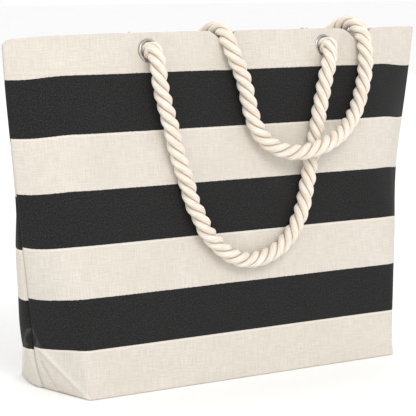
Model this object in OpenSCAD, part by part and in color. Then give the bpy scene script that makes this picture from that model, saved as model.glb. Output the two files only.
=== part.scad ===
// Beach bag: a striped canvas tote with boxed corners and two rope handles.
// The origin is the middle of the base, +Z is up and the front faces -Y.

/* [Bag] */
// Width of the bag laid flat, seam to seam
flat_width = 543; // [520:1:560]
// Height of the front rim above the base
bag_height = 366; // [345:1:380]
// Depth of the base, front to back
base_depth = 136; // [120:1:140]
// Gap between the front and the back at the rim
mouth_gap = 30; // [28:1:36]
// Thickness of the canvas
canvas = 1.5; // [1:0.1:2]
// How much lower the back rim is sewn than the front rim
back_drop = 3; // [0:0.5:4]

/* [Hem and seams] */
// Height of the turned-in hem
hem_height = 41; // [38:1:46]
// Width of the seam allowances inside the bag
seam_width = 9; // [6:1:12]
// Thickness of a seam allowance, two layers of canvas
seam_thickness = 1.8; // [1.2:0.1:2]

/* [Eyelets] */
// Height of the eyelet centres above the base
eyelet_z = 347; // [345:0.5:348]
// Outer diameter of an eyelet
eyelet_d = 25; // [24:0.5:27]
// Hole through an eyelet
eyelet_hole = 18.2; // [18:0.1:19]

/* [Rope] */
// Diameter of the rope
rope_d = 17.5; // [17:0.1:17.6]
// Diameter of a stopper knot
knot_d = 37; // [30:1:38]
// Height of a stopper knot
knot_h = 40; // [34:1:44]
// Length of the frayed tail under a knot
tail_length = 44; // [30:1:60]

/* [Hidden] */
$fn = 48;

CANVAS = "#ebe4d8";
CANVAS_INSIDE = "#e2d9c9";
NICKEL = "#b8b6b2";
ROPE = "#f0e6da";

// Walls
band_z = bag_height - hem_height;    // where the hem band starts
band_depth = 23;                     // half depth of the bag there
base_fold_x = (flat_width - base_depth) / 2;
fold_spread = 18.5;                  // how far the front folds move apart higher up
seam_foot_x = 223;                   // half width across the side seams, low down
seam_spread = 48.5;                  // how much wider the rim is
foot_round = 7;                      // the sides tuck in this much at the base
foot_height = 40;
hem_layer = 1.2;
layer_gap = 0.1;                     // between two layers of canvas
floor_thickness = 2;                 // the base, two layers of canvas under one another
base_gap = 0.6;                      // between the base and the walls round it
seam_margin = 16;                    // how far the base's seams stop short of its edges
corner_margin = 4;                   // and its corner seams from the ends of the base
seam_gap = 0.3;                      // between the front and the back along the side seams
seam_edge = [0.8, -2.5];             // the cloth turns into the seam round this step
wall_rows = 9;
side_steps = 2;
fold_steps = 5;
front_steps = 30;

// The rim sinks where the back handle lies over it: [x, depth, half width]
FRONT_DENTS = [[-11, 13, 12], [178, 16, 15]];
BACK_DENTS = [[-9, 17, 13], [174, 9, 13]];

// Eyelets: across the bag, the same on the front and the back
EYELETS = [-108, 125];
band_lean = atan2(band_depth - mouth_gap / 2, hem_height);
eyelet_wall = 1.1;                   // thickness of the barrel
flange_base = 0.5;                   // flat part of the flange, under its dome
washer_t = 1.2;
hole_clearance = 0.2;
stack = canvas + layer_gap + hem_layer;

// Knots sit side by side in the narrow top of the bag, under the eyelets
FRONT_KNOTS = [-88, 145];
BACK_KNOTS = [-128, 105];
knot_z = 306;
end_face = 4;                        // how far off the canvas a handle meets its rope end
face_gap = 1;                        // between the two faces there

// Routes of the two handles between their eyelets
FRONT_ROUTE = [[-108, -34, 341], [-108, -38, 329], [-106, -40, 311], [-101, -42, 291],
    [-95, -44, 270], [-90, -46, 249], [-83, -48, 228], [-76, -50, 207], [-71, -52, 190],
    [-64, -55, 176], [-56, -57, 160], [-44, -58, 147], [-28, -60, 134], [-6, -61, 126],
    [17, -61, 127], [37, -60, 134], [53, -58, 145], [65, -56, 159], [74, -54, 175],
    [80, -51, 191], [85, -49, 209], [89, -47, 225], [94, -45, 241], [98, -44, 257],
    [103, -42, 279], [107, -41, 294], [112, -39, 311], [117, -38, 328], [123, -33, 341]];
BACK_ROUTE = [[-104, 33, 342], [-94, 37, 337], [-80, 39, 334], [-64, 39, 333], [-48, 39, 333],
    [-33, 37, 335], [-20, 34, 339], [-11, 29, 346], [-9, 22, 354], [-11, 15, 360], [-12, 7, 364],
    [-11, -1, 366], [-10, -10, 366], [-11, -18, 363], [-11, -26, 355], [-7, -31, 341], [0, -33, 326],
    [5, -36, 309], [8, -39, 292], [12, -42, 275], [19, -44, 260], [30, -47, 248], [44, -52, 240],
    [60, -58, 237], [78, -62, 239], [98, -63, 245], [124, -55, 254], [144, -47, 267], [157, -42, 282],
    [165, -39, 300], [171, -36, 318], [174, -33, 336], [177, -25, 354], [178, -16, 363], [178, -7, 368],
    [177, 2, 370], [175, 11, 368], [173, 19, 363], [170, 27, 357], [164, 34, 349], [155, 38, 342],
    [144, 39, 339], [134, 36, 342]];

function smooth(t) = let (c = min(1, max(0, t))) c * c * (3 - 2 * c);
function unit(v) = v / norm(v);
function bezier(p, q, r, t) = p * (1 - t) * (1 - t) + q * 2 * t * (1 - t) + r * t * t;

// Half depth, half width at the side seam, and half width at the front folds, at height z
function half_depth(z) = z < band_z
    ? band_depth + (base_depth / 2 - band_depth) * (1 - z / band_z)
    : band_depth + (mouth_gap / 2 - band_depth) * (z - band_z) / hem_height;
function seam_x(z) = let (t = z / bag_height)
    seam_foot_x + seam_spread * (1.08 * t - 0.08 * t ^ 6)
    - foot_round * max(0, 1 - z / foot_height) ^ 2;
function fold_x(z) = base_fold_x + fold_spread * smooth(z / (bag_height / 2));
function fold_softness(z) = 6 + 60 * smooth(z / bag_height);

// Half of the front's outline at height z, from the left seam to the middle
function half_outline(z) =
    let (
        seam = [-seam_x(z), 0],
        edge = seam + seam_edge,
        fold = [-fold_x(z), -half_depth(z)],
        run = norm(edge - fold),
        soft = min(fold_softness(z), 0.9 * run),
        start = fold + (edge - fold) * soft / run,
        end = fold + [soft, 0]
    )
    concat(
        [seam],
        [for (i = [0:side_steps - 1]) edge + (start - edge) * i / side_steps],
        [for (i = [0:fold_steps]) bezier(start, fold, end, i / fold_steps)],
        [for (i = [1:front_steps]) [end.x * (1 - i / front_steps), end.y]]
    );
function front_outline(z) =
    let (half = half_outline(z), last = len(half) - 1)
    concat(half, [for (i = [1:last]) [-half[last - i].x, half[last - i].y]]);

// The outline moved inwards, and kept in front of the side seams
function inset(line, by) =
    let (last = len(line) - 1)
    [for (i = [0:last])
        let (
            along = unit(line[min(last, i + 1)] - line[max(0, i - 1)]),
            p = line[i] + by * [-along.y, along.x]
        )
        [p.x, min(p.y, -seam_gap / 2)]];

function dent(x, dents) =
    max([for (d = dents) d[1] * exp(-pow((x - d[0]) / d[2], 2))]);

function trimmed(line, ends) = [for (i = [ends:len(line) - 1 - ends]) line[i]];

// A layer of the front wall between two insets, as a closed mesh: rows are heights, and the last
// row is the rim, which sinks at the dents. ends is how many steps stop short of each side seam
module wall_layer(rows, outer, inner, dents, ends = 0) {
    sheets = [for (by = [outer, inner]) [for (z = rows) trimmed(inset(front_outline(z), by), ends)]];
    n = len(sheets[0][0]);
    m = len(rows);
    function height(j, x) = rows[j] - (j == m - 1 ? dent(x, dents) : 0);
    points = [for (s = [0, 1], j = [0:m - 1], i = [0:n - 1])
        let (p = sheets[s][j][i]) [p.x, p.y, height(j, p.x)]];
    function at(s, j, i) = (s * m + j) * n + i;
    polyhedron(points, concat(
        [for (j = [0:m - 2], i = [0:n - 2]) [at(0, j, i), at(0, j + 1, i), at(0, j + 1, i + 1), at(0, j, i + 1)]],
        [for (j = [0:m - 2], i = [0:n - 2]) [at(1, j, i), at(1, j, i + 1), at(1, j + 1, i + 1), at(1, j + 1, i)]],
        [for (i = [0:n - 2]) [at(0, 0, i), at(0, 0, i + 1), at(1, 0, i + 1), at(1, 0, i)]],
        [for (i = [0:n - 2]) [at(0, m - 1, i), at(1, m - 1, i), at(1, m - 1, i + 1), at(0, m - 1, i + 1)]],
        [for (j = [0:m - 2]) [at(0, j, 0), at(1, j, 0), at(1, j + 1, 0), at(0, j + 1, 0)]],
        [for (j = [0:m - 2]) [at(0, j, n - 1), at(0, j + 1, n - 1), at(1, j + 1, n - 1), at(1, j, n - 1)]]
    ));
}

// Puts children on the front wall at an eyelet, with +Z out of the canvas
module at_eyelet(x) {
    translate([x, -half_depth(eyelet_z), eyelet_z])
        rotate([90 - band_lean, 0, 0])
        children();
}
module eyelet_holes(xs) {
    for (x = xs)
        at_eyelet(x) cylinder(h = 20, r = eyelet_hole / 2 + eyelet_wall + hole_clearance, center = true);
}
module back_side() {
    mirror([0, 1, 0]) children();
}

module wall(rim, xs, dents) {
    rows = concat([for (j = [0:wall_rows]) band_z * pow(j / wall_rows, 1.5)], [rim]);
    difference() {
        wall_layer(rows, 0, canvas, dents);
        eyelet_holes(xs);
    }
}
module hem(rim, xs, dents) {
    difference() {
        wall_layer([band_z, rim], canvas + layer_gap, stack, dents, side_steps + 2);
        eyelet_holes(xs);
    }
}
module front_panel() { color(CANVAS) wall(bag_height, EYELETS, FRONT_DENTS); }
module back_panel() { color(CANVAS) back_side() wall(bag_height - back_drop, EYELETS, BACK_DENTS); }
module front_hem() { color(CANVAS_INSIDE) hem(bag_height, EYELETS, FRONT_DENTS); }
module back_hem() { color(CANVAS_INSIDE) back_side() hem(bag_height - back_drop, EYELETS, BACK_DENTS); }

// The base fills the outline at z = 0, inside the walls
module base_panel() {
    edge = inset(front_outline(0), canvas + base_gap);
    color(CANVAS)
        linear_extrude(floor_thickness)
        polygon(concat(edge, [for (i = [len(edge) - 1:-1:0]) [edge[i].x, -edge[i].y]]));
}

// Seam allowances inside the bag: upright fins at the sides, and flat ones on the base
module side_seam() {
    clear = 9;
    low = 14;
    steps = 8;
    heights = [for (i = [0:steps]) low + (band_z - 4 - low) * i / steps];
    rotate([90, 0, 0])
        linear_extrude(seam_thickness, center = true)
        polygon(concat(
            [for (z = heights) [seam_x(z) - clear, z]],
            [for (i = [steps:-1:0]) [seam_x(heights[i]) - clear - seam_width, heights[i]]]
        ));
}
module right_side_seam() { color(CANVAS_INSIDE) side_seam(); }
module left_side_seam() { color(CANVAS_INSIDE) mirror([1, 0, 0]) side_seam(); }
module base_seam() {
    color(CANVAS_INSIDE)
        translate([seam_margin - base_fold_x, 0, floor_thickness + layer_gap])
        cube([2 * (base_fold_x - seam_margin), seam_width, seam_thickness]);
}
module corner_seam() {
    translate([base_fold_x - corner_margin - seam_width, seam_margin - base_depth / 2, floor_thickness + layer_gap])
        cube([seam_width, base_depth - 2 * seam_margin, seam_thickness]);
}
module right_corner_seam() { color(CANVAS_INSIDE) corner_seam(); }
module left_corner_seam() { color(CANVAS_INSIDE) mirror([1, 0, 0]) corner_seam(); }

// Eyelet: a domed flange outside, and a barrel through both layers of canvas
module eyelet(x) {
    inner = eyelet_hole / 2;
    outer = eyelet_d / 2;
    color(NICKEL) at_eyelet(x) rotate_extrude() difference() {
        union() {
            translate([inner, layer_gap]) square([outer - inner, flange_base]);
            translate([(inner + outer) / 2, flange_base]) circle(d = outer - inner);
            translate([inner, -stack - washer_t - 0.6]) square([eyelet_wall, stack + washer_t + 0.8]);
        }
        translate([inner + eyelet_wall, -5]) square([outer, 5.1]);
    }
}
module washer(x) {
    inner = eyelet_hole / 2 + eyelet_wall + 0.05;
    color(NICKEL) at_eyelet(x) translate([0, 0, -stack - washer_t - 0.15]) rotate_extrude()
        translate([inner, 0]) square([eyelet_d / 2 + 1 - inner, washer_t]);
}

// A tube's ends are square to the first and last stretch of its route, so that two tubes meet face to face
function path_tangents(path, route) =
    let (last = len(path) - 1, end = len(route) - 1)
    [for (i = [0:last])
        i == 0 ? unit(route[1] - route[0])
        : i == last ? unit(route[end] - route[end - 1])
        : unit(path[i + 1] - path[i - 1])];
function carried(tangents, normals, i = 1) =
    i == len(tangents) ? normals
    : let (n = normals[i - 1], t = tangents[i])
        carried(tangents, concat(normals, [unit(n - (n * t) * t)]), i + 1);
function any_normal(t) = unit(cross(t, abs(t.x) > 0.9 ? [0, 0, 1] : [1, 0, 0]));
function curve_point(path, i, t) =
    let (
        last = len(path) - 1,
        a = path[max(0, i - 1)],
        b = path[i],
        c = path[min(last, i + 1)],
        d = path[min(last, i + 2)]
    )
    0.5 * (2 * b + (c - a) * t + (2 * a - 5 * b + 4 * c - d) * t * t + (3 * b - a - 3 * c + d) * t * t * t);
function curved(path, steps) = concat(
    [for (i = [0:len(path) - 2], k = [0:steps - 1]) curve_point(path, i, k / steps)],
    [path[len(path) - 1]]);
// A tube of the rope's diameter along a list of points
module tube(route, sides = 10) {
    path = curved(route, 2);
    tangents = path_tangents(path, route);
    normals = carried(tangents, [any_normal(tangents[0])]);
    // the flats of a polygon lie inside its circle, so its corners stand a little outside
    r = rope_d / 2 / sqrt(cos(180 / sides));
    last = len(path) - 1;
    points = [for (i = [0:last], k = [0:sides - 1])
        let (a = 360 * k / sides)
        path[i] + r * (cos(a) * normals[i] + sin(a) * cross(tangents[i], normals[i]))];
    polyhedron(points, concat(
        [[for (k = [0:sides - 1]) k]],
        [for (i = [0:last - 1], k = [0:sides - 1])
            let (a = i * sides, b = a + sides, l = (k + 1) % sides) [a + k, b + k, b + l, a + l]],
        [[for (k = [sides - 1:-1:0]) last * sides + k]]
    ));
}

// The point on an eyelet's axis that stands off the canvas by a distance
function axis_point(x, off) =
    [x, -half_depth(eyelet_z) - off * cos(band_lean), eyelet_z + off * sin(band_lean)];
function turned(p) = [p.x, -p.y, p.z];

module front_handle_rope() {
    color(ROPE) tube(concat(
        [axis_point(EYELETS[0], end_face), axis_point(EYELETS[0], end_face + 6)],
        FRONT_ROUTE,
        [axis_point(EYELETS[1], end_face + 6), axis_point(EYELETS[1], end_face)]));
}
module back_handle_rope() {
    color(ROPE) tube(concat(
        [turned(axis_point(EYELETS[0], end_face)), turned(axis_point(EYELETS[0], end_face + 6))],
        BACK_ROUTE,
        [turned(axis_point(EYELETS[1], end_face + 6)), turned(axis_point(EYELETS[1], end_face))]));
}

// The rope inside the bag: through the eyelet, down to its knot, and the tail under the knot
module rope_end(x, knot_x) {
    color(ROPE) tube([
        axis_point(x, end_face - face_gap),
        axis_point(x, 0),
        axis_point(x, -5),
        [x + (knot_x - x) * 0.15, -9, eyelet_z - 3],
        [x + (knot_x - x) * 0.65, -3, eyelet_z - 10],
        [x + (knot_x - x) * 0.92, 0, eyelet_z - 18],
        [knot_x, 0, knot_z + knot_h / 2 - 2]]);
}
module knot(x) {
    color(ROPE) translate([x, 0, knot_z]) rotate_extrude() intersection() {
        scale([knot_d / 2, knot_h / 2]) circle(r = 1, $fn = 64);
        translate([0, -knot_h]) square([knot_d, 2 * knot_h]);
    }
}
module tail(x) {
    fray = 2;
    color(ROPE) translate([x, 0, knot_z - knot_h / 2 - tail_length + 2]) rotate_extrude()
        polygon([[0, 0], [rope_d / 2 + fray, 0], [rope_d / 2 + fray, 8], [rope_d / 2, 18],
            [rope_d / 2, tail_length], [0, tail_length]]);
}

module front_left_eyelet() { eyelet(EYELETS[0]); }
module front_right_eyelet() { eyelet(EYELETS[1]); }
module back_left_eyelet() { back_side() eyelet(EYELETS[0]); }
module back_right_eyelet() { back_side() eyelet(EYELETS[1]); }
module front_left_washer() { washer(EYELETS[0]); }
module front_right_washer() { washer(EYELETS[1]); }
module back_left_washer() { back_side() washer(EYELETS[0]); }
module back_right_washer() { back_side() washer(EYELETS[1]); }
module front_left_rope_end() { rope_end(EYELETS[0], FRONT_KNOTS[0]); }
module front_right_rope_end() { rope_end(EYELETS[1], FRONT_KNOTS[1]); }
module back_left_rope_end() { back_side() rope_end(EYELETS[0], BACK_KNOTS[0]); }
module back_right_rope_end() { back_side() rope_end(EYELETS[1], BACK_KNOTS[1]); }
module front_left_knot() { knot(FRONT_KNOTS[0]); }
module front_right_knot() { knot(FRONT_KNOTS[1]); }
module back_left_knot() { knot(BACK_KNOTS[0]); }
module back_right_knot() { knot(BACK_KNOTS[1]); }
module front_left_tail() { tail(FRONT_KNOTS[0]); }
module front_right_tail() { tail(FRONT_KNOTS[1]); }
module back_left_tail() { tail(BACK_KNOTS[0]); }
module back_right_tail() { tail(BACK_KNOTS[1]); }

front_panel();
back_panel();
base_panel();
front_hem();
back_hem();
left_side_seam();
right_side_seam();
base_seam();
left_corner_seam();
right_corner_seam();
front_left_eyelet();
front_right_eyelet();
back_left_eyelet();
back_right_eyelet();
front_left_washer();
front_right_washer();
back_left_washer();
back_right_washer();
front_handle_rope();
back_handle_rope();
front_left_rope_end();
front_right_rope_end();
back_left_rope_end();
back_right_rope_end();
front_left_knot();
front_right_knot();
back_left_knot();
back_right_knot();
front_left_tail();
front_right_tail();
back_left_tail();
back_right_tail();
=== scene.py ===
"""Striped canvas beach bag with rope handles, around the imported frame."""
import math
import bpy
import numpy as np
from mathutils import Matrix, Vector


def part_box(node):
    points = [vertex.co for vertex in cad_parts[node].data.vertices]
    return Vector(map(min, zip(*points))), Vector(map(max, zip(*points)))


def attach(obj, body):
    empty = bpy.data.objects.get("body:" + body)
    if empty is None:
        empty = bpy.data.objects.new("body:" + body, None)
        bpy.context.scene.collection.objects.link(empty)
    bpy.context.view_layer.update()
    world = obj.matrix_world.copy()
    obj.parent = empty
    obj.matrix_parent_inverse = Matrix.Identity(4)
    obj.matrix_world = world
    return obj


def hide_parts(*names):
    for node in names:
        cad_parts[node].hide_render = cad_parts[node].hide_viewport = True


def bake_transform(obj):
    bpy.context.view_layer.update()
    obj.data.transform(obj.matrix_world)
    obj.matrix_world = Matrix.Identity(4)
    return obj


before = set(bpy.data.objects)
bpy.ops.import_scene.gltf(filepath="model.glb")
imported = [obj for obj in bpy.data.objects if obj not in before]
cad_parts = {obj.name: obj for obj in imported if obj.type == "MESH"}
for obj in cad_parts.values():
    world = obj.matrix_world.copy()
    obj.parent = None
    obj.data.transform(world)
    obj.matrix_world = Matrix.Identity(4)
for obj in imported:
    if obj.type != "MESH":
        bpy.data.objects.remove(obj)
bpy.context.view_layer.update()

MM = 0.001
UP = np.array([0.0, 0.0, 1.0])


def box_mm(node):
    """Lowest and highest corner of a CAD node, in millimetres."""
    low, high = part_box(node)
    return np.array(low) / MM, np.array(high) / MM


# ---------------------------------------------------------------- the bag's measures, in millimetres
front_low, front_high = box_mm("front_panel")
RIM = front_high[2]
BACK_RIM = box_mm("back_panel")[1][2]
RIM_HALF_WIDTH = front_high[0]
BASE_HALF_DEPTH = -front_low[1]
FLAT_WIDTH = 543.0
HEM_HEIGHT = 41.0
BAND_Z = RIM - HEM_HEIGHT
BAND_DEPTH = 23.0
RIM_DEPTH = 15.0
BASE_FOLD_X = FLAT_WIDTH / 2 - BASE_HALF_DEPTH
# How far the gusset's fold and the side seam spread outwards from the base to the rim
FOLD_SPREAD = 18.5
SEAM_FOOT_X = 223.0
SEAM_SPREAD = RIM_HALF_WIDTH - SEAM_FOOT_X
# The seam tucks in at its foot
FOOT_ROUND, FOOT_HEIGHT = 7.0, 40.0
SEAM_EDGE = np.array([0.8, -2.5])
CANVAS_T = 1.1
BASE_T = 1.6

EYELET_Z = 347.0
EYELETS = (-108.0, 125.0)
# The cloth stands clear of the rope out to the first radius, and is pushed aside out to the second
EYELET_HOLE, EYELET_REACH = 10.5, 16.5
# Grid cells wholly within this far of an eyelet's axis, before they are pushed aside, are its hole
EYELET_OPEN = 2.9
FRONT_KNOTS = (-88.0, 145.0)
BACK_KNOTS = (-128.0, 105.0)
KNOT_Z, KNOT_H = 306.0, 40.0
# Radius of a knot's turns, and how many steps of 60 degrees they take
KNOT_TURN_R = 10.5
KNOT_STEPS = 14
BAND_LEAN = math.atan2(BAND_DEPTH - RIM_DEPTH, HEM_HEIGHT)
# How far out of the canvas a handle starts
END_FACE = 4.0

ROPE_D = 17.5
# Length of rope in which a strand goes once round
ROPE_LAY = 41.0
STRANDS = 3
# A rope's rings lie this far apart
RING_STEP = 1.6
# In a stopper knot the rope is pulled tight, thinner by this share
KNOT_SQUEEZE = 0.28

# Stripes: cloth heights of the black bands' edges, from the base
BLACK_BANDS = ((50.0, 101.7), (154.5, 209.5), (266.0, 325.0))
HEM_EDGE_Z = 326.5
STITCH_Z = 330.5
# A woven-in light line runs this far under each black band
LINE_DROP = 1.6
# The bands run lower round the gusset, by this much, reached this far round from the front's fold
GUSSET_DROP, GUSSET_RUN = 4.5, 60.0

# The rim sinks under the back handle: (x, depth, half width)
FRONT_DENTS = ((-10.5, 12.5, 11.5), (177, 14.5, 14))
BACK_DENTS = ((-9, 17, 13), (174, 9, 13))
# The rim droops towards the side seams: (depth at the very corner, wider droop, its reach), left and right
DROOPS = ((4.5, 6.0, 40.0), (0.5, 1.5, 30.0))
# How far below the rim the dents and the droop are felt
DENT_REACH, DROOP_REACH = 66.0, 46.0
# The grid of a wall: its columns, and the distance of its rows where it is fine and elsewhere
COLUMNS = 241
FINE_ROW, ROW = 0.8, 2.4

# Routes of the handles between their eyelets, in metres
FRONT_ROUTE = (
    (-0.108, -0.034, 0.341), (-0.108, -0.038, 0.329), (-0.106, -0.040, 0.311), (-0.101, -0.042, 0.291),
    (-0.095, -0.044, 0.270), (-0.090, -0.046, 0.249), (-0.083, -0.048, 0.228), (-0.076, -0.050, 0.207),
    (-0.071, -0.052, 0.190), (-0.064, -0.055, 0.176), (-0.056, -0.057, 0.160), (-0.044, -0.058, 0.147),
    (-0.028, -0.060, 0.134), (-0.006, -0.061, 0.126), (0.017, -0.061, 0.127), (0.037, -0.060, 0.134),
    (0.053, -0.058, 0.145), (0.065, -0.056, 0.159), (0.074, -0.054, 0.175), (0.080, -0.051, 0.191),
    (0.085, -0.049, 0.209), (0.089, -0.047, 0.225), (0.094, -0.045, 0.241), (0.098, -0.044, 0.257),
    (0.103, -0.042, 0.279), (0.107, -0.041, 0.294), (0.112, -0.039, 0.311), (0.117, -0.038, 0.328),
    (0.123, -0.033, 0.341),
)
BACK_ROUTE = (
    (-0.104, 0.033, 0.342), (-0.094, 0.037, 0.337), (-0.080, 0.039, 0.334), (-0.064, 0.039, 0.333),
    (-0.048, 0.039, 0.333), (-0.033, 0.037, 0.335), (-0.020, 0.034, 0.339), (-0.011, 0.029, 0.346),
    (-0.009, 0.022, 0.354), (-0.011, 0.015, 0.360), (-0.012, 0.007, 0.364), (-0.011, -0.001, 0.366),
    (-0.010, -0.010, 0.366), (-0.011, -0.018, 0.363), (-0.011, -0.026, 0.355), (-0.007, -0.031, 0.341),
    (0.000, -0.033, 0.326), (0.005, -0.036, 0.309), (0.008, -0.039, 0.292), (0.012, -0.042, 0.275),
    (0.019, -0.044, 0.260), (0.030, -0.047, 0.248), (0.044, -0.052, 0.240), (0.060, -0.058, 0.237),
    (0.078, -0.062, 0.239), (0.098, -0.063, 0.245), (0.124, -0.055, 0.254), (0.144, -0.047, 0.267),
    (0.157, -0.042, 0.282), (0.165, -0.039, 0.300), (0.171, -0.036, 0.318), (0.174, -0.033, 0.336),
    (0.177, -0.025, 0.354), (0.178, -0.016, 0.363), (0.178, -0.007, 0.368), (0.177, 0.002, 0.370),
    (0.175, 0.011, 0.368), (0.173, 0.019, 0.363), (0.170, 0.027, 0.357), (0.164, 0.034, 0.349),
    (0.155, 0.038, 0.342), (0.144, 0.039, 0.339), (0.134, 0.036, 0.342),
)


# ---------------------------------------------------------------- camera
def make_camera():
    """The view from the front left, a little above, with a long lens."""
    yaw, pitch, roll = (math.radians(a) for a in (36.2, 9.04, 1.49))
    forward = Vector((math.sin(yaw) * math.cos(pitch), math.cos(yaw) * math.cos(pitch), -math.sin(pitch)))
    level = forward.cross(Vector((0, 0, 1))).normalized()
    upward = level.cross(forward)
    right = level * math.cos(roll) + upward * math.sin(roll)
    up = upward * math.cos(roll) - level * math.sin(roll)
    data = bpy.data.cameras.new("camera")
    data.sensor_width = 36
    data.lens = 168.1
    data.clip_end = 50
    camera = bpy.data.objects.new("camera", data)
    camera.matrix_world = Matrix((right, up, -forward)).transposed().to_4x4()
    camera.location = (-1.236, -1.671, 0.503)
    bpy.context.collection.objects.link(camera)
    bpy.context.scene.camera = camera


# ---------------------------------------------------------------- node helpers
class Nodes:
    """A material's node tree, with short calls for what the materials here need."""

    def __init__(self, name):
        self.material = bpy.data.materials.new(name)
        self.material.use_nodes = True
        self.tree = self.material.node_tree
        self.shader = self.tree.nodes["Principled BSDF"]

    def add(self, kind, inputs=(), **settings):
        made = self.tree.nodes.new(kind)
        for key, value in settings.items():
            setattr(made, key, value)
        for key, value in dict(inputs).items():
            self.put(made.inputs[key], value)
        return made

    def put(self, socket, value):
        if isinstance(value, bpy.types.NodeSocket):
            self.tree.links.new(value, socket)
        else:
            socket.default_value = value

    def math(self, operation, *values):
        made = self.add("ShaderNodeMath", operation=operation)
        for socket, value in zip(made.inputs, values):
            self.put(socket, value)
        return made.outputs[0]

    def mix(self, factor, a, b):
        made = self.add("ShaderNodeMix", data_type="RGBA")
        for key, value in ((0, factor), (6, a), (7, b)):
            self.put(made.inputs[key], value)
        return made.outputs[2]

    def noise(self, vector, scale, detail=3.0, roughness=0.55):
        inputs = {"Vector": vector, "Scale": scale, "Detail": detail, "Roughness": roughness}
        return self.add("ShaderNodeTexNoise", inputs).outputs["Fac"]

    def span(self, value, low, high, to_low=0.0, to_high=1.0):
        made = self.add("ShaderNodeMapRange", interpolation_type="SMOOTHSTEP")
        for socket, v in zip(made.inputs, (value, low, high, to_low, to_high)):
            self.put(socket, v)
        return made.outputs[0]

    def uv(self, name):
        return self.add("ShaderNodeUVMap", uv_map=name).outputs[0]

    def split(self, vector):
        return self.add("ShaderNodeSeparateXYZ", {0: vector}).outputs

    def join(self, x, y, z=0.0):
        return self.add("ShaderNodeCombineXYZ", {0: x, 1: y, 2: z}).outputs[0]

    def bump(self, height, distance, strength=1.0, onto=None):
        inputs = {"Height": height, "Distance": distance, "Strength": strength}
        if onto is not None:
            inputs["Normal"] = onto
        return self.add("ShaderNodeBump", inputs).outputs[0]

    def finish(self, color, roughness, normal=None, **sockets):
        self.put(self.shader.inputs["Base Color"], color)
        self.put(self.shader.inputs["Roughness"], roughness)
        if normal is not None:
            self.put(self.shader.inputs["Normal"], normal)
        for key, value in sockets.items():
            self.put(self.shader.inputs[key.replace("_", " ")], value)
        return self.material


# Base colours, linear
NATURAL = (0.715, 0.678, 0.615, 1)
NATURAL_SHADE = (0.590, 0.545, 0.478, 1)
BLACK = (0.0135, 0.0135, 0.0138, 1)
# Grey of the black cloth's flecks, and of its sharp ridges, worn and with painted highlight
FLECK_AND_HIGHLIGHT_GREY = (0.085, 0.083, 0.080, 1)
# Pale cotton: the woven-in light lines, and sharp ridges, worn and with painted highlight
PALE_NATURAL = (0.790, 0.750, 0.690, 1)
# Painted shade in sharp dips of the cloth
FOLD_SHADE = (0.44, 0.39, 0.32, 1)
ROPE_LIGHT = (0.85, 0.80, 0.72, 1)
ROPE_SHADE = (0.69, 0.60, 0.495, 1)
# Painted shade in the grooves between the rope's strands
ROPE_PAINTED_SHADE = (0.38, 0.26, 0.165, 1)
NICKEL_DULL = (0.36, 0.35, 0.34, 1)
NICKEL_BRIGHT = (0.52, 0.51, 0.49, 1)
THREAD_SHADE = (0.70, 0.63, 0.53, 1)
THREAD_LIGHT = (0.86, 0.81, 0.73, 1)
FLOOR_SHADE = (0.94, 0.94, 0.94, 1)
FLOOR_LIGHT = (0.96, 0.96, 0.96, 1)
# Distance between two threads of the canvas, and how far they stand out, in metres
WEAVE_PITCH = 0.00072
WEAVE_HEIGHT = 0.00009


def weave_bump(n, u, v):
    """A plain weave: threads along u and v that pass over and under each other."""
    turns = math.pi / WEAVE_PITCH
    wave_u = n.math("SINE", n.math("MULTIPLY", u, turns))
    wave_v = n.math("SINE", n.math("MULTIPLY", v, turns))
    return n.bump(n.math("MULTIPLY", wave_u, wave_v), WEAVE_HEIGHT, 0.6)


def natural_cotton(n, cloth, grain, mottle, fold_wear_and_light):
    """Unbleached cotton's colour: slubs, clouds and flecks, paler on sharp folds, worn and with painted
    highlight, and darker with painted shade in sharp dips.
    """
    color = n.mix(n.span(grain, 0.36, 0.64), NATURAL_SHADE, NATURAL)
    cloud = n.span(n.noise(cloth, 14.0, 3), 0.35, 0.7)
    color = n.mix(n.math("MULTIPLY", cloud, 0.3), color, NATURAL_SHADE)
    color = n.mix(n.span(mottle, 0.42, 0.7, 0.0, 0.55), color, NATURAL_SHADE)
    # Sharp ridges: worn, and with painted highlight
    color = n.mix(n.span(fold_wear_and_light, 0.15, 0.9, 0.0, 0.75), color, PALE_NATURAL)
    # Sharp dips: painted shade
    return n.mix(n.span(fold_wear_and_light, -0.15, -0.9, 0.0, 0.6), color, FOLD_SHADE)


def black_cotton(n, cloth, slub, mottle, fold_wear_and_light):
    """Dyed cotton's colour: black with paler flecks, streaks and worn patches, and sharp folds that are worn
    and paled with painted highlight.
    """
    fleck = n.span(n.noise(cloth, 1500.0, 2, 0.7), 0.60, 0.78)
    streak = n.span(slub, 0.6, 0.85)
    worn = n.span(n.noise(cloth, 7.0, 4), 0.6, 0.85)
    lift = n.math("ADD", n.math("MULTIPLY", fleck, 0.55), n.math("MULTIPLY", streak, 0.3))
    lift = n.math("ADD", lift, n.math("MULTIPLY", worn, 0.12))
    lift = n.math("ADD", lift, n.span(mottle, 0.42, 0.78, 0.0, 0.42))
    color = n.mix(lift, BLACK, FLECK_AND_HIGHLIGHT_GREY)
    # Sharp folds, worn and paled with painted highlight
    return n.mix(n.span(fold_wear_and_light, 0.15, 0.9, 0.0, 0.5), color, FLECK_AND_HIGHLIGHT_GREY)


def stripes(n, cloth, v):
    """Where the black bands are, with slightly ragged edges, and where the light lines under them are."""
    ragged = n.math("MULTIPLY", n.math("SUBTRACT", n.noise(cloth, 900.0, 1), 0.5), 0.0012)
    height = n.math("ADD", v, ragged)
    band = 0.0
    lines = 0.0
    for low, high in BLACK_BANDS:
        above = n.math("GREATER_THAN", height, low * MM)
        below = n.math("LESS_THAN", height, high * MM)
        band = n.math("ADD", band, n.math("MULTIPLY", above, below))
        off = n.math("ABSOLUTE", n.math("SUBTRACT", v, (low - LINE_DROP) * MM))
        lines = n.math("ADD", lines, n.span(off, 0.0004, 0.0012, 1.0, 0.0))
    return band, lines


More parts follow.
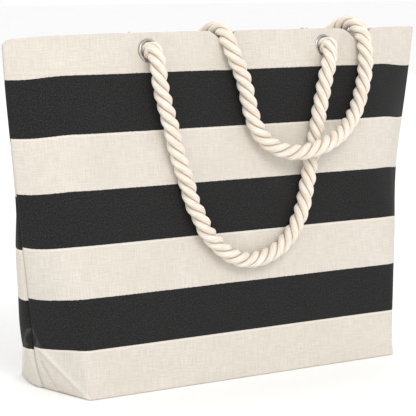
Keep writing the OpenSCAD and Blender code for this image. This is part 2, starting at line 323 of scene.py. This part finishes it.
def canvas(name, striped, stripe=1.0):
    """Cotton canvas, plain or with woven-in black bands: stripe is how strongly they show on this side."""
    n = Nodes(name)
    cloth = n.uv("cloth")
    u, v, _ = n.split(cloth)
    normal = weave_bump(n, u, v)
    slub_u = n.noise(n.join(n.math("MULTIPLY", u, 60), n.math("MULTIPLY", v, 1400)), 1.0, 2)
    slub_v = n.noise(n.join(n.math("MULTIPLY", u, 1400), n.math("MULTIPLY", v, 60)), 1.0, 2)
    grain = n.math("ADD", n.math("MULTIPLY", slub_u, 0.5), n.math("MULTIPLY", slub_v, 0.5))
    mottle = n.noise(cloth, 640.0, 3, 0.8)
    # Per point: worn ridges with painted highlight above 0, painted shade in dips below 0
    fold_wear_and_light = n.add("ShaderNodeAttribute", attribute_name="fold").outputs["Fac"]
    color = natural_cotton(n, cloth, grain, mottle, fold_wear_and_light)
    if striped:
        band, lines = stripes(n, cloth, v)
        color = n.mix(n.math("MULTIPLY", lines, 0.5 * stripe), color, PALE_NATURAL)
        normal = n.bump(lines, 0.0003, 0.6 * stripe, normal)
        black = black_cotton(n, cloth, slub_u, mottle, fold_wear_and_light)
        color = n.mix(n.math("MULTIPLY", band, stripe), color, black)
    normal = n.bump(grain, 0.00012, 0.5, normal)
    return n.finish(color, 0.92, normal, Sheen_Weight=0.04, Sheen_Roughness=0.5, Specular_IOR_Level=0.12)


def rope_cotton():
    """Three-strand cotton rope: soft strands with fine yarn lines, and painted shade in the grooves."""
    n = Nodes("rope_cotton")
    along, around, _ = n.split(n.uv("strand"))
    groove = n.add("ShaderNodeAttribute", attribute_name="groove").outputs["Fac"]
    position = n.add("ShaderNodeTexCoord").outputs["Object"]
    skew = n.math("ADD", n.math("MULTIPLY", around, 620), n.math("MULTIPLY", along, 60))
    yarn = n.noise(n.join(skew, n.math("MULTIPLY", along, 90)), 1.0, 3, 0.6)
    fuzz = n.noise(position, 900.0, 3, 0.7)
    cloud = n.noise(position, 60.0, 2)
    color = n.mix(n.span(yarn, 0.35, 0.62), ROPE_SHADE, ROPE_LIGHT)
    color = n.mix(n.math("MULTIPLY", n.span(cloud, 0.4, 0.75), 0.3), color, ROPE_SHADE)
    # Painted shade in the grooves between the strands
    color = n.mix(n.span(groove, 0.72, 1.0, 0.0, 0.85), color, ROPE_PAINTED_SHADE)
    normal = n.bump(yarn, 0.0005, 0.55)
    normal = n.bump(fuzz, 0.0003, 0.5, normal)
    return n.finish(color, 0.95, normal, Sheen_Weight=0.25, Sheen_Roughness=0.6, Specular_IOR_Level=0.2)


def nickel():
    """Polished nickel with fine scratches."""
    n = Nodes("nickel")
    position = n.add("ShaderNodeTexCoord").outputs["Object"]
    smear = n.noise(position, 260.0, 4, 0.7)
    color = n.mix(n.span(smear, 0.3, 0.7), NICKEL_DULL, NICKEL_BRIGHT)
    normal = n.bump(n.noise(position, 1800.0, 2), 0.00003, 0.4)
    return n.finish(color, n.span(smear, 0.2, 0.8, 0.2, 0.36), normal, Metallic=1.0)


def thread():
    """Sewing thread: twisted cotton, a little darker than the canvas."""
    n = Nodes("thread")
    position = n.add("ShaderNodeTexCoord").outputs["Object"]
    twist = n.noise(position, 2600.0, 1)
    color = n.mix(twist, THREAD_SHADE, THREAD_LIGHT)
    return n.finish(color, 0.8, n.bump(twist, 0.0001, 0.5))


def floor_paint():
    """A plain pale floor."""
    n = Nodes("floor_paint")
    position = n.add("ShaderNodeTexCoord").outputs["Object"]
    color = n.mix(n.noise(position, 3.0, 2), FLOOR_SHADE, FLOOR_LIGHT)
    return n.finish(color, 0.9)


# ---------------------------------------------------------------- mesh helpers
def new_mesh(name, points, faces, material, uvs=None, uv_name="cloth", smooth=True):
    """An object from points in millimetres, with one UV per point."""
    mesh = bpy.data.meshes.new(name)
    mesh.from_pydata([tuple(p) for p in np.asarray(points, float) * MM], [], [tuple(f) for f in faces])
    mesh.materials.append(material)
    mesh.polygons.foreach_set("use_smooth", [smooth] * len(mesh.polygons))
    if uvs is not None:
        layer = mesh.uv_layers.new(name=uv_name)
        index = np.zeros(len(mesh.loops), np.int32)
        mesh.loops.foreach_get("vertex_index", index)
        layer.data.foreach_set("uv", np.asarray(uvs, np.float32)[index].ravel())
    mesh.validate()
    mesh.update()
    made = bpy.data.objects.new(name, mesh)
    bpy.context.collection.objects.link(made)
    return made


def grid_faces(rows, columns, flip=False):
    """Quads of a grid of points stored row by row."""
    a = (np.arange(rows - 1)[:, None] * columns + np.arange(columns - 1)[None, :]).ravel()
    quads = np.stack([a, a + 1, a + columns + 1, a + columns], axis=1)
    return quads[:, ::-1] if flip else quads


def apply_modifier(piece, kind, **settings):
    """Adds a modifier and applies it."""
    modifier = piece.modifiers.new(kind.lower(), kind)
    for key, value in settings.items():
        setattr(modifier, key, value)
    depsgraph = bpy.context.evaluated_depsgraph_get()
    mesh = bpy.data.meshes.new_from_object(piece.evaluated_get(depsgraph))
    piece.modifiers.clear()
    piece.data = mesh
    mesh.polygons.foreach_set("use_smooth", [True] * len(mesh.polygons))
    return piece


def smooth(t):
    """Rises gently from 0 to 1 as t does."""
    t = np.clip(t, 0.0, 1.0)
    return t * t * (3 - 2 * t)


# ---------------------------------------------------------------- the bag's shape
def half_depth(z):
    """How far the front's flat part stands from the bag's middle at height z."""
    low = BAND_DEPTH + (BASE_HALF_DEPTH - BAND_DEPTH) * (1 - z / BAND_Z)
    high = BAND_DEPTH + (RIM_DEPTH - BAND_DEPTH) * (z - BAND_Z) / HEM_HEIGHT
    return low if z < BAND_Z else high


def seam_x(z):
    """How far out the side seam lies at height z."""
    t = z / RIM
    tuck = FOOT_ROUND * max(0.0, 1 - z / FOOT_HEIGHT) ** 2
    return SEAM_FOOT_X + SEAM_SPREAD * (1.08 * t - 0.08 * t**6) - tuck


def fold_x(z):
    """How far out the fold between the front and the gusset lies at height z."""
    return BASE_FOLD_X + FOLD_SPREAD * float(smooth(z / (RIM / 2)))


def outline(z, columns):
    """The front's outline at height z, from the left seam to the right one, evenly spaced."""
    seam = np.array([-seam_x(z), 0.0])
    edge = seam + SEAM_EDGE
    fold = np.array([-fold_x(z), -half_depth(z)])
    run = np.linalg.norm(edge - fold)
    soft = min(6 + 60 * float(smooth(z / RIM)), 0.9 * run)
    start = fold + (edge - fold) * soft / run
    end = fold + np.array([soft, 0.0])
    t = np.linspace(0, 1, 25)[:, None]
    near = edge + (start - edge) * 0.2
    turn = (1 - t) ** 2 * (seam + (0.0, -0.2)) + 2 * t * (1 - t) * (edge + (-0.5, 0.4)) + t * t * near
    bend = (1 - t) ** 2 * start + 2 * t * (1 - t) * fold + t * t * end
    half = np.vstack([turn, bend])
    line = np.vstack([half, half[::-1] * (-1, 1)])
    steps = np.r_[0, np.cumsum(np.linalg.norm(np.diff(line, axis=0), axis=1))]
    at = np.linspace(0, steps[-1], columns)
    return np.stack([np.interp(at, steps, line[:, 0]), np.interp(at, steps, line[:, 1])], axis=1)


SURFACE_Z = np.linspace(0, RIM, 245)
SURFACE_U = np.linspace(-FLAT_WIDTH / 2, FLAT_WIDTH / 2, 363)
SURFACE = np.array([outline(z, len(SURFACE_U)) for z in SURFACE_Z])


def surface_point(u, z):
    """Points of the smooth front, from places on its cloth: u across it and z up it."""
    i = np.clip(z / (SURFACE_Z[1] - SURFACE_Z[0]), 0, len(SURFACE_Z) - 1.001)
    k = np.clip((u - SURFACE_U[0]) / (SURFACE_U[1] - SURFACE_U[0]), 0, len(SURFACE_U) - 1.001)
    i0, k0 = i.astype(int), k.astype(int)
    a, b = (i - i0)[..., None], (k - k0)[..., None]
    low = SURFACE[i0, k0] * (1 - b) + SURFACE[i0, k0 + 1] * b
    high = SURFACE[i0 + 1, k0] * (1 - b) + SURFACE[i0 + 1, k0 + 1] * b
    return np.concatenate([low * (1 - a) + high * a, z[..., None]], axis=-1)


def cloth_u(x, z):
    """How far across the cloth a point at x lies."""
    row = SURFACE[int(round(z / (SURFACE_Z[1] - SURFACE_Z[0])))]
    return float(np.interp(x, row[:, 0], SURFACE_U))


def dent(x, dents):
    """How deep the rim is pressed down at x."""
    return np.max([d * np.exp(-(((x - c) / w) ** 2)) for c, d, w in dents], axis=0)


def droop(u):
    """How far the rim hangs towards each side seam."""
    left = FLAT_WIDTH / 2 + u
    right = FLAT_WIDTH / 2 - u
    total = 0 * u
    for d, (corner, wide, reach) in zip((left, right), DROOPS):
        total = total + corner * np.exp(-d / 3) + wide * np.exp(-d / reach)
    return total


def ridge(u, z, start, end, width, height):
    """A fold that runs from start to end on the cloth: its height at each point."""
    a, b = np.array(start, float), np.array(end, float)
    along = b - a
    t = np.clip(((u - a[0]) * along[0] + (z - a[1]) * along[1]) / (along @ along), 0, 1)
    off = np.hypot(u - a[0] - t * along[0], z - a[1] - t * along[1])
    return height * np.exp(-((off / width) ** 2)) * (1 - 0.35 * t)


def grid_normals(points):
    """Outward normals of a grid of points, rows by columns."""
    du = np.gradient(points, axis=1)
    dv = np.gradient(points, axis=0)
    n = np.cross(du, dv)
    return n / np.maximum(np.linalg.norm(n, axis=2, keepdims=True), 1e-9)


# Folds and creases of the walls, on the cloth: start, end, width, height (negative for a dimple). On each
# side the first runs down the gusset to the base, and the third and fourth make a short V beside the seam.
LEFT_CREASES = (
    ((-267, 49), (-205, 2), 3.4, 2.2),
    ((-262, 36), (-214, 2), 7.0, -1.0),
    ((-270.5, 64), (-264, 51), 1.8, 1.4),
    ((-271, 54), (-268, 50), 2.0, -1.2),
    ((-263, 30), (-250, 6), 2.0, -0.7),
    # A sharp dip along the foot, darkened with painted shadow
    ((-248, 1), (-214, 1), 1.8, -0.7),
    ((-226, 262), (-222, 205), 7.0, 1.1),
    ((-208, 152), (-206, 96), 6.0, 1.2),
    ((-236, 330), (-214, 300), 8.0, -1.0),
)
RIGHT_CREASES = (
    ((267, 49), (205, 2), 3.4, 2.0),
    ((262, 36), (214, 2), 7.0, -1.0),
    ((270.5, 64), (264, 51), 1.8, 1.4),
    ((271, 54), (268, 50), 2.0, -1.2),
    ((224, 250), (221, 190), 7.0, 0.9),
    ((236, 332), (216, 306), 8.0, -1.0),
)
# A fold narrower than this is worn and paled with painted highlight on a ridge, and darkened with painted
# shade in a dip
SHARP_FOLD = 3.5
HEM_DIMPLES = (
    ((-214, 362), (-199, 344), 5.5, -1.3),
    ((-172, 354), (-150, 338), 6.0, -1.5),
    ((-133, 360), (-124, 346), 4.0, -1.0),
    ((-78, 352), (-62, 341), 5.0, -1.2),
    ((-30, 352), (-18, 340), 7.0, -1.0),
    ((52, 354), (40, 340), 6.0, -0.9),
    ((92, 350), (104, 338), 5.0, -1.0),
    ((160, 356), (152, 336), 7.0, -2.2),
    ((146, 360), (140, 344), 4.0, 1.2),
    ((206, 356), (222, 342), 6.0, -1.0),
)
BROAD_FOLDS = (
    ((-150, 300), (-175, 210), 26.0, -1.4),
    ((-60, 240), (-40, 90), 34.0, 1.5),
    ((90, 210), (120, 60), 36.0, -1.3),
    ((180, 280), (195, 150), 26.0, 1.2),
)
# The back wall's folds are the same ones, this much softer
BACK_SOFTER = 0.8
# Gentle waves all over the cloth: how many, their shortest and longest length, and their height for it
WAVES = 14
WAVE_LENGTHS = (60, 240)
WAVE_HEIGHT = 0.0022
# How far the lower part of each wall bulges out
FRONT_BULGE, BACK_BULGE = 1.0, 7.0
FAR = 1e9


def eyelet_gap(u, z):
    """Moves the grid's points aside round each eyelet: new u and z, and how close to one each point was."""
    near = np.full(u.shape, FAR)
    for x in EYELETS:
        centre = cloth_u(x, EYELET_Z)
        du, dz = u - centre, z - EYELET_Z
        r = np.hypot(du, dz)
        moved = EYELET_HOLE + r * (EYELET_REACH - EYELET_HOLE) / EYELET_REACH
        push = np.where(r < EYELET_REACH, moved / np.maximum(r, 1e-6), 1.0)
        u, z = centre + du * push, EYELET_Z + dz * push
        near = np.minimum(near, r)
    return u, z, near


def fold_wear_highlight_shade(u, z, creases):
    """How worn and paled with painted highlight the cloth is along its sharp folds, up to 1, and how
    darkened with painted shade in its sharp dips, down to -1.
    """
    worn_lit_and_shaded = np.zeros_like(z)
    for start, end, width, height in creases:
        if width < SHARP_FOLD:
            worn_lit_and_shaded += ridge(u, z, start, end, width, math.copysign(1.0, height))
    return np.clip(worn_lit_and_shaded, -1, 1)


def waves(u, z, seed):
    """Gentle unevenness of the cloth, in all directions."""
    rng = np.random.default_rng(seed)
    total = np.zeros_like(z)
    for _ in range(WAVES):
        angle, length = rng.uniform(0, math.pi), rng.uniform(*WAVE_LENGTHS)
        phase = rng.uniform(0, 2 * math.pi)
        wave = np.sin(2 * math.pi * (u * math.cos(angle) + z * math.sin(angle)) / length + phase)
        total += WAVE_HEIGHT * length * wave
    return total


def hem_relief(z, rim):
    """The step at the hem's edge, the groove that its stitches pull in, and the thicker fold at the rim."""
    edge = 0.5 * np.exp(-(((z - HEM_EDGE_Z) / 1.3) ** 2))
    groove = 0.45 * np.exp(-(((z - STITCH_Z) / 1.3) ** 2))
    return edge - groove + 0.35 * np.exp(-((z - rim + 2) / 3) ** 2)


def belly(u, z, bulge):
    """How far the lower part of a wall bulges out, most of all near its side seams."""
    from_seam = np.clip((FLAT_WIDTH / 2 - np.abs(u)) / 72, 0, 1)
    low = (1 - smooth((z - 110) / 150)) * (1 + 0.45 * np.exp(-(((z - 62) / 34) ** 2)))
    return bulge * np.sin(math.pi * from_seam**0.55) * low


def wall_shape(u, z, rim, dents, creases, seed, bulge):
    """The outer surface of one wall at places on its cloth, with its sag, dents, creases and hem."""
    base = surface_point(u, z)
    by_rim = smooth((z - (rim - DENT_REACH)) / DENT_REACH) ** 3
    near_rim = smooth((z - (rim - DROOP_REACH)) / DROOP_REACH) ** 1.3
    sink = dent(base[:, :, 0], dents) * by_rim + droop(u) * near_rim
    points = surface_point(u, np.clip(z - sink, 0, RIM))
    push = waves(u, z, seed)
    for start, end, width, height in creases:
        push += ridge(u, z, start, end, width, height)
    push += hem_relief(z, rim)
    # The side seams and the foot hold the cloth still
    push *= smooth((FLAT_WIDTH / 2 - np.abs(u)) / 14) * smooth(z / 12)
    normals = grid_normals(points)
    return points + normals * push[:, :, None] + normals * (1, 1, 0) * belly(u, z, bulge)[:, :, None]


def cloth_rows(rim):
    """Heights of the grid's rows: closer together round the hem's edge, the rim and the foot."""
    rows = [0.6]
    while rows[-1] < rim - 1.2:
        z = rows[-1]
        by_hem_edge = abs(z - 328) < 6
        fine = by_hem_edge or z > rim - 5 or z < 6
        rows.append(z + (FINE_ROW if fine else ROW))
    rows[-1] = rim - CANVAS_T
    return np.array(rows)


def turn_in_hem(outer, inward, z_rows):
    """Points over the rim, points down the inside, and the outside rows that the inside ones lie behind."""
    last, turn_in = outer[-1], inward[-1]
    over = []
    for angle in (35, 70, 110, 145):
        a = math.radians(angle)
        rise = np.array([0, 0, math.sin(a) * CANVAS_T])
        over.append(last + turn_in * (1 - math.cos(a)) * CANVAS_T + rise)
    hem_rows = [row for row in range(len(z_rows) - 1, 0, -1) if z_rows[row] > HEM_EDGE_Z + 1]
    inner = [outer[row] + inward[row] * 2 * CANVAS_T for row in hem_rows]
    return np.array(over), np.array(inner), hem_rows


def cloth_uvs(u, z, rows, rim):
    """Each grid point's place on the striped cloth, in metres: the first rows are the outside."""
    across = u + FLAT_WIDTH / 2
    up = z + GUSSET_DROP * smooth((np.abs(u) - BASE_FOLD_X) / GUSSET_RUN) + (RIM - rim)
    # Over the rim and inside, the cloth is natural
    up[rows:] = np.maximum(up[rows:], BLACK_BANDS[-1][1] + 1)
    return np.stack([across, up], axis=2).reshape(-1, 2) * MM


def make_wall(name, front):
    """One canvas panel with its turned-in hem, up the outside, over the rim and down inside."""
    rim = RIM if front else BACK_RIM
    dents = FRONT_DENTS if front else BACK_DENTS
    creases = LEFT_CREASES + RIGHT_CREASES + BROAD_FOLDS + HEM_DIMPLES
    if not front:
        creases = tuple(((-a[0], a[1]), (-b[0], b[1]), w, BACK_SOFTER * h) for a, b, w, h in creases)
    z_rows = cloth_rows(rim)
    u, z = np.meshgrid(np.linspace(-FLAT_WIDTH / 2, FLAT_WIDTH / 2, COLUMNS), z_rows)
    u, z, near = eyelet_gap(u, z)
    z = np.minimum(z, rim - CANVAS_T)
    seed, bulge = (11, FRONT_BULGE) if front else (23, BACK_BULGE)
    outer = wall_shape(u, z, rim, dents, creases, seed, bulge)
    normals = grid_normals(outer)
    over, inner, hem_rows = turn_in_hem(outer, -normals, z_rows)
    grid = np.concatenate([outer, over, inner])
    # Sharp folds: worn ridges with painted highlight, dips with painted shade
    worn_lit_and_shaded = np.concatenate([fold_wear_highlight_shade(u, z, creases), np.zeros((len(over) + len(inner), COLUMNS))])
    all_u = np.concatenate([u, np.repeat(u[-1:], len(over), 0), u[hem_rows]])
    all_z = np.concatenate([z, np.repeat(z[-1:], len(over), 0), z[hem_rows]])
    all_near = np.concatenate([near, np.full((len(over), COLUMNS), FAR), near[hem_rows]])
    side = np.array([1, 1 if front else -1, 1])
    grid, outer, normals = grid * side, outer * side, normals * side
    faces = grid_faces(len(grid), COLUMNS, flip=not front)
    open_here = all_near.ravel()[faces].max(axis=1) < EYELET_OPEN
    uvs = cloth_uvs(all_u, all_z, len(z_rows), rim)
    piece = new_mesh(name, grid.reshape(-1, 3), faces[~open_here], materials["canvas"], uvs)
    # The fold attribute: worn ridges with painted highlight, painted shade in dips
    worn = piece.data.attributes.new("fold", "FLOAT", "POINT")
    worn.data.foreach_set("value", worn_lit_and_shaded.reshape(-1).astype(np.float32))
    piece.data.materials.append(materials["inside"])
    apply_modifier(
        piece, "SOLIDIFY", thickness=CANVAS_T * MM, offset=-1, use_even_offset=False,
        material_offset=1, material_offset_rim=0,
    )
    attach(piece, "bag")
    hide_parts(*(("front_panel", "front_hem") if front else ("back_panel", "back_hem")))
    return piece, outer, normals, z_rows


def row_stitches(name, outer, normals, z_rows, height):
    """A row of stitches along a wall at one height."""
    row = int(np.argmin(np.abs(z_rows - height)))
    return thread_stitches(name, outer[row][2:-2], normals[row][2:-2])


def make_base(front_foot, back_foot):
    """The boxed base: canvas between the feet of the two walls."""
    columns = len(front_foot)
    reach = front_foot[-1][0] - 4
    clear = 0.1
    spine = np.stack([np.linspace(-reach, reach, columns), np.zeros(columns), np.zeros(columns)], axis=1)
    share = np.linspace(0, 1, 25)[:, None, None]
    front_half = front_foot[None] * (1 - share) + spine[None] * share
    back_half = back_foot[None] * (1 - share) + spine[None] * share
    grid = np.concatenate([front_half, back_half[-2::-1]])
    inside = 1 - 0.8 / BASE_FOLD_X
    grid = grid * (inside, inside, 0) + (0, 0, clear)
    u = grid[:, :, 0] + FLAT_WIDTH / 2
    v = -np.abs(grid[:, :, 1]) - 5
    uvs = np.stack([u, v], axis=2).reshape(-1, 2) * MM
    faces = grid_faces(len(grid), columns, flip=True)
    piece = new_mesh("base_cloth", grid.reshape(-1, 3), faces, materials["canvas"], uvs)
    piece.data.materials.append(materials["inside"])
    apply_modifier(piece, "SOLIDIFY", thickness=BASE_T * MM, offset=-1, material_offset=1)
    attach(piece, "bag")
    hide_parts("base_panel")
    return piece


# ---------------------------------------------------------------- rope
def axis_point(x, off, back=False):
    """A point on an eyelet's axis, off millimetres out of the canvas."""
    y = -half_depth(EYELET_Z) - off * math.cos(BAND_LEAN)
    return np.array([x, -y if back else y, EYELET_Z + off * math.sin(BAND_LEAN)])


def curve_through(points, spacing):
    """A smooth curve through points, resampled at an even spacing."""
    p = np.asarray(points, float)
    ext = np.vstack([2 * p[0] - p[1], p, 2 * p[-1] - p[-2]])
    t = np.linspace(0, 1, 16, endpoint=False)[:, None]
    dense = []
    for a, b, c, d in zip(ext, ext[1:], ext[2:], ext[3:]):
        square = (2 * a - 5 * b + 4 * c - d) * t**2
        cube = (3 * b - a - 3 * c + d) * t**3
        dense.append(0.5 * (2 * b + (c - a) * t + square + cube))
    dense = np.vstack(dense + [p[-1:]])
    steps = np.r_[0, np.cumsum(np.linalg.norm(np.diff(dense, axis=0), axis=1))]
    at = np.linspace(0, steps[-1], int(round(steps[-1] / spacing)) + 1)
    return np.stack([np.interp(at, steps, dense[:, k]) for k in range(3)], axis=1), at


def carried_frames(path, first_normal):
    """Tangents and normals along a path, the normals turning as little as they can."""
    tangents = np.gradient(path, axis=0)
    tangents /= np.linalg.norm(tangents, axis=1, keepdims=True)
    normals = [first_normal - tangents[0] * (first_normal @ tangents[0])]
    normals[0] = normals[0] / np.linalg.norm(normals[0])
    for t in tangents[1:]:
        n = normals[-1] - t * (normals[-1] @ t)
        normals.append(n / np.linalg.norm(n))
    return tangents, np.array(normals)


def strand_profile(steps=15):
    """One strand's share of the rope's outline, from groove to groove: radius, angle and place across it."""
    # A strand's centre and radius, in rope radii
    out, size = 0.47, 0.53
    groove = out * 0.5 + math.sqrt(size**2 - (out * math.sin(math.pi / STRANDS)) ** 2)
    reach = math.atan2(groove * math.sin(math.pi / STRANDS), groove * math.cos(math.pi / STRANDS) - out)
    turn = np.linspace(-reach, reach, steps)
    x, y = out + size * np.cos(turn), size * np.sin(turn)
    return np.hypot(x, y), np.arctan2(y, x), turn / reach


def lay_twist(along, tangents, normals, sides, end_turn):
    """How far the strands have turned along a rope. end_turn is a normal for its last ring to meet."""
    twist = -2 * math.pi * along / ROPE_LAY
    if end_turn is None:
        return twist
    want = end_turn - tangents[-1] * (end_turn @ tangents[-1])
    have = math.atan2(want @ sides[-1], want @ normals[-1])
    third = 2 * math.pi / STRANDS
    miss = (have - twist[-1] + third / 2) % third - third / 2
    return twist + miss * along / along[-1]


def rope_wobble(along, turn, seed):
    """Slight unevenness of the strands, in rope radii."""
    rng = np.random.default_rng(seed)
    wobble = np.zeros((len(along), len(turn)))
    for _ in range(10):
        rate, phase, count = rng.uniform(2, 9), rng.uniform(0, 6.3), rng.integers(1, 6)
        wobble += 0.004 * np.sin(along[:, None] / rate + count * turn[None, :] + phase)
    return wobble


def tube_faces(rings, around):
    """Faces of a closed tube: its wall, and a fan at each end round a centre point, stored last."""
    faces = []
    for i in range(rings - 1):
        for k in range(around):
            step = (k + 1) % around
            faces.append((i * around + k, i * around + step, (i + 1) * around + step, (i + 1) * around + k))
    first, last, end = rings * around, rings * around + 1, (rings - 1) * around
    faces += [(first, (k + 1) % around, k) for k in range(around)]
    faces += [(last, end + k, end + (k + 1) % around) for k in range(around)]
    return faces


def rope_mesh(name, path, along, first_normal, diameter=ROPE_D, end_turn=None, seed=3):
    """A laid rope of three strands along a path, as one skin."""
    tangents, normals = carried_frames(path, first_normal)
    sides = np.cross(tangents, normals)
    twist = lay_twist(along, tangents, normals, sides, end_turn)
    radius, angle, across = (line[:-1] for line in strand_profile())
    size = np.tile(radius, STRANDS)
    turn = np.concatenate([angle + k * 2 * math.pi / STRANDS for k in range(STRANDS)])
    place = np.tile(across, STRANDS)
    thickness = np.broadcast_to(np.asarray(diameter, float), (len(path),))[:, None]
    radii = thickness / 2 * (size[None, :] + rope_wobble(along, turn, seed))
    a = turn[None, :] + twist[:, None]
    points = (
        path[:, None, :]
        + (radii * np.cos(a))[:, :, None] * normals[:, None, :]
        + (radii * np.sin(a))[:, :, None] * sides[:, None, :]
    )
    rings, around = points.shape[:2]
    skin = np.vstack([points.reshape(-1, 3), path[0], path[-1]])
    strand = np.repeat(np.arange(STRANDS), len(radius))
    uv_along = np.repeat(along * MM, around)
    uv_across = np.tile((place * 0.5 + strand) * ROPE_D * MM, rings)
    uvs = np.vstack([np.stack([uv_along, uv_across], axis=1), [[0, 0], [0, 0]]])
    piece = new_mesh(name, skin, tube_faces(rings, around), materials["rope"], uvs, "strand")
    # How near each point lies to a groove, for the painted shade there
    groove = piece.data.attributes.new("groove", "FLOAT", "POINT")
    groove.data.foreach_set("value", np.r_[np.tile(np.abs(place), rings), 1, 1].astype(np.float32))
    return piece


def make_handle(name, node, route, back):
    """A rope handle from eyelet to eyelet: the piece and its path in metres."""
    left, right = EYELETS
    start = [axis_point(left, END_FACE, back), axis_point(left, END_FACE + 6, back)]
    end = [axis_point(right, END_FACE + 6, back), axis_point(right, END_FACE, back)]
    points = np.vstack([start, np.array(route) / MM, end])
    path, along = curve_through(points, RING_STEP)
    piece = rope_mesh(name, path, along, UP, end_turn=UP)
    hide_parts(node)
    return piece, path * MM


def make_rope_end(name, nodes, x, knot_x, back):
    """The rope inside the bag: through the eyelet, a stopper knot and the frayed tail."""
    side = -1 if back else 1
    lean = knot_x - x
    top = KNOT_Z + KNOT_H / 2
    neck = [
        axis_point(x, END_FACE, back),
        axis_point(x, 0, back),
        axis_point(x, -5, back),
        (x + lean * 0.15, -9 * side, EYELET_Z - 3),
        (x + lean * 0.65, -3 * side, EYELET_Z - 10),
        (x + lean * 0.92, 0, EYELET_Z - 18),
        (knot_x, 0, top),
    ]
    turns = []
    for k in range(1, KNOT_STEPS + 1):
        a = math.radians(60 * k)
        turns.append((
            knot_x + KNOT_TURN_R * (0.85 + 0.15 * math.cos(a)) * math.sin(a),
            side * KNOT_TURN_R * (0.75 + 0.15 * math.sin(2 * a)) * math.cos(a),
            top - 6 - k * 2.0,
        ))
    low = KNOT_Z - KNOT_H / 2
    tail = [(knot_x, 0, low - 2), (knot_x + 1, 0, low - 14), (knot_x + 1, side, low - 34)]
    path, along = curve_through(np.vstack([neck, turns, tail]), RING_STEP)
    knotted = smooth((top - path[:, 2]) / 8) * smooth((path[:, 2] - low + 4) / 8)
    diameter = ROPE_D * (1 - KNOT_SQUEEZE * knotted)
    piece = rope_mesh(name, path, along, UP, diameter=diameter, seed=7)
    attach(piece, "bag")
    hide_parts(*nodes)
    return piece


# ---------------------------------------------------------------- stitching and seams
def thread_stitches(name, points, normals, length=2.7, pitch=3.6, radius=0.28):
    """A row of lockstitches on a line of points: short rounded threads that dip in at both ends."""
    steps = np.r_[0, np.cumsum(np.linalg.norm(np.diff(points, axis=0), axis=1))]
    sides, rings = 6, 5
    verts, faces = [], []
    for begin in np.arange(pitch / 2, steps[-1] - pitch, pitch):
        at = begin + np.linspace(0, length, rings)
        line = np.stack([np.interp(at, steps, points[:, k]) for k in range(3)], axis=1)
        normal = np.stack([np.interp(at, steps, normals[:, k]) for k in range(3)], axis=1)
        rise = np.array([-0.5, 0.7, 1.0, 0.7, -0.5]) * radius
        line = line + normal * rise[:, None]
        tangent = line[-1] - line[0]
        tangent /= np.linalg.norm(tangent)
        first = len(verts)
        for i in range(rings):
            side = np.cross(tangent, normal[i])
            for k in range(sides):
                a = 2 * math.pi * k / sides
                verts.append(line[i] + radius * (math.cos(a) * normal[i] + math.sin(a) * side))
        for i in range(rings - 1):
            ring = first + i * sides
            for k in range(sides):
                step = (k + 1) % sides
                faces.append((ring + k, ring + step, ring + sides + step, ring + sides + k))
        faces.append(tuple(first + k for k in range(sides))[::-1])
        faces.append(tuple(first + (rings - 1) * sides + k for k in range(sides)))
    piece = new_mesh(name, verts, faces, materials["thread"])
    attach(piece, "bag")
    return piece


# ---------------------------------------------------------------- stage
def make_stage():
    """A wide plain floor, a hair under the bag."""
    half, level = 6000.0, -0.2
    corners = [(x * half, y * half, level) for x, y in ((-1, -1), (1, -1), (1, 1), (-1, 1))]
    floor = new_mesh("floor", corners, [(0, 1, 2, 3)], materials["floor"], smooth=False)


def area_light(name, place, target, size, power, color=(1, 1, 1)):
    """A square soft light at a place, facing its target."""
    data = bpy.data.lights.new(name, "AREA")
    data.shape = "SQUARE"
    data.size = size
    data.energy = power
    data.color = color
    light = bpy.data.objects.new(name, data)
    light.location = place
    light.rotation_euler = (Vector(target) - Vector(place)).to_track_quat("-Z", "Y").to_euler()
    bpy.context.collection.objects.link(light)


def make_lights():
    """A warm key light from the front, a weak fill and back light, and an even white studio."""
    middle = (0, 0, 0.2)
    area_light("key", (-0.7, -2.4, 2.2), middle, 1.2, 33, (1.0, 0.97, 0.93))
    area_light("fill", (-2.6, -0.8, 1.2), middle, 1.6, 4)
    area_light("back", (1.5, 2.2, 2.0), middle, 1.6, 10)
    world = bpy.data.worlds.new("studio")
    bpy.context.scene.world = world
    world.use_nodes = True
    world.node_tree.nodes["Background"].inputs[0].default_value = (1, 1, 1, 1)
    world.node_tree.nodes["Background"].inputs[1].default_value = 1.0
    # Plain tones keep the white studio white and the bands deep black
    bpy.context.scene.view_settings.view_transform = "Standard"


# ---------------------------------------------------------------- making
materials = {
    "canvas": canvas("canvas", True),
    "inside": canvas("canvas_inside", True, stripe=0.16),
    "plain": canvas("plain_canvas", False),
    "rope": rope_cotton(),
    "nickel": nickel(),
    "thread": thread(),
    "floor": floor_paint(),
}
make_camera()
front_rope, front_path = make_handle("front_rope", "front_handle_rope", FRONT_ROUTE, False)
back_rope, back_path = make_handle("back_rope", "back_handle_rope", BACK_ROUTE, True)
for face, knots, back in (("front", FRONT_KNOTS, False), ("back", BACK_KNOTS, True)):
    for side, x, knot_x in zip(("left", "right"), EYELETS, knots):
        label = f"{face}_{side}"
        nodes = [f"{label}_{what}" for what in ("rope_end", "knot", "tail")]
        make_rope_end(f"{label}_end", nodes, x, knot_x, back)

feet = []
for label, front in (("front", True), ("back", False)):
    cloth, outer, normals, z_rows = make_wall(f"{label}_cloth", front)
    feet.append(outer[0])
    stitches = row_stitches(f"{label}_hem_stitches", outer, normals, z_rows, STITCH_Z)
base = make_base(*feet)

for node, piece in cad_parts.items():
    if "eyelet" in node or "washer" in node:
        piece.data.materials.clear()
        piece.data.materials.append(materials["nickel"])
    if "seam" in node:
        piece.data.materials.clear()
        piece.data.materials.append(materials["plain"])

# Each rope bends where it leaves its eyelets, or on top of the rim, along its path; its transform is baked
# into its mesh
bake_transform(front_rope)
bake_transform(back_rope)

make_stage()
make_lights()
